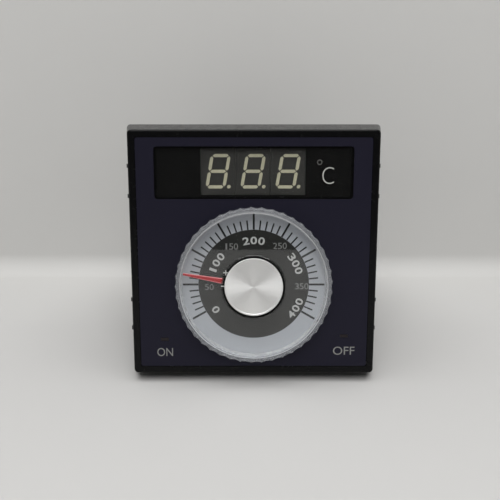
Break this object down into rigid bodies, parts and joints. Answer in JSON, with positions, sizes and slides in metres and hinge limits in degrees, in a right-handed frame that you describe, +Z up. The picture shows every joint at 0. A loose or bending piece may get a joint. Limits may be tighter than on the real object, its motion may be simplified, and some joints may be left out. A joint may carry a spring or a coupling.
{
  "type": "pid temperature controller",
  "caption": "Square panel-mount temperature controller with a clear set-point dial over a round scale, a digital display, side clamps and rear screw terminals.",
  "frame": {"origin": "centre of the bezel's back plane, which seats on the front of the panel", "axes": "the face looks to -Y, +Y goes back through the panel to the terminals, +Z is up and +X is to the right seen from the front"},
  "size_m": [0.0984, 0.1116, 0.096],
  "materials": {
    "bezel_black": "fine satin texture, moulded black thermoplastic",
    "film_blue_black": "printed polyester film, dark blue grey, satin",
    "smoked_window": "smoked clear acrylic, polished",
    "mask_black": "matt black print",
    "digit_face": "grey epoxy face",
    "digit_segment": "pale milky epoxy, unlit",
    "pin_tin": "tinned, bright",
    "board_green": "glass-epoxy board with green solder mask",
    "screw_steel": "zinc plated, bright",
    "lamp_red": "tinted epoxy, unlit",
    "dial_silver": "silver anodised plate with printed scale",
    "knob_clear": "clear acrylic, polished",
    "pointer_red": "red lacquer",
    "cap_aluminium": "spun, with fine circular turning lines",
    "bush_brass": "turned",
    "shaft_steel": "ground, nickel plated",
    "pot_black": "black phenolic",
    "case_black": "black flame-retardant thermoplastic, fine texture",
    "plate_black": "black thermoplastic, satin",
    "terminal_black": "black phenolic, satin",
    "contact_brass": "stamped, nickel flashed",
    "clamp_black": "black glass-filled nylon",
    "core_steel": "varnished laminations",
    "bobbin_white": "natural nylon",
    "winding_tape": "yellow polyester tape over the winding",
    "relay_blue": "blue moulded cover",
    "capacitor_sleeve": "dark blue sleeve",
    "chip_black": "black moulding compound",
    "trimmer_blue": "blue moulding",
    "connector_white": "natural nylon"
  },
  "bodies": {
    "instrument": {"front_bezel": "bezel_black", "panel_film": "film_blue_black", "display_window": "smoked_window", "display_mask": "mask_black", "digit_hundreds": "digit_face", "digit_tens": "digit_face", "digit_units": "digit_face", "digit_segments": "digit_segment", "digit_pins": "pin_tin", "display_board": "board_green", "board_screws": "screw_steel", "on_lamp": "lamp_red", "off_lamp": "lamp_red", "dial_plate": "dial_silver", "pot_body": "pot_black", "pot_washer": "screw_steel", "pot_nut": "screw_steel", "case": "case_black", "rear_plate": "plate_black", "rear_screws": "screw_steel", "terminal_block_left": "terminal_black", "terminal_block_right": "terminal_black", "contact_plates": "contact_brass", "terminal_screws": "screw_steel", "main_board": "board_green", "terminal_board": "board_green", "board_link": "connector_white", "rear_link": "connector_white", "transformer_core": "core_steel", "transformer_bobbin": "bobbin_white", "transformer_winding": "winding_tape", "relay": "relay_blue", "filter_capacitors": "capacitor_sleeve", "rectifier": "chip_black", "voltage_regulator": "chip_black", "converter_chip": "chip_black", "amplifier_chip": "chip_black", "calibration_trimmers": "trimmer_blue"},
    "knob": {"knob_disc": "knob_clear", "knob_bush": "bush_brass", "knob_cap": "cap_aluminium", "pointer": "pointer_red", "pot_shaft": "shaft_steel"},
    "left_clamp": {"clamp_left": "clamp_black", "clamp_screw_left": "screw_steel"},
    "right_clamp": {"clamp_right": "clamp_black", "clamp_screw_right": "screw_steel"}
  },
  "joints": [
    {"name": "set_point", "type": "hinge", "parent": "instrument", "child": "knob", "pos_m": [0, 0, -0.01075], "axis": [0, 1, 0], "range_deg": [-45, 205]},
    {"name": "left_clamp_slide", "type": "slide", "parent": "instrument", "child": "left_clamp", "axis": [0, 1, 0], "range_m": [-0.002, 0.007]},
    {"name": "right_clamp_slide", "type": "slide", "parent": "instrument", "child": "right_clamp", "axis": [0, 1, 0], "range_m": [-0.002, 0.007]}
  ]
}
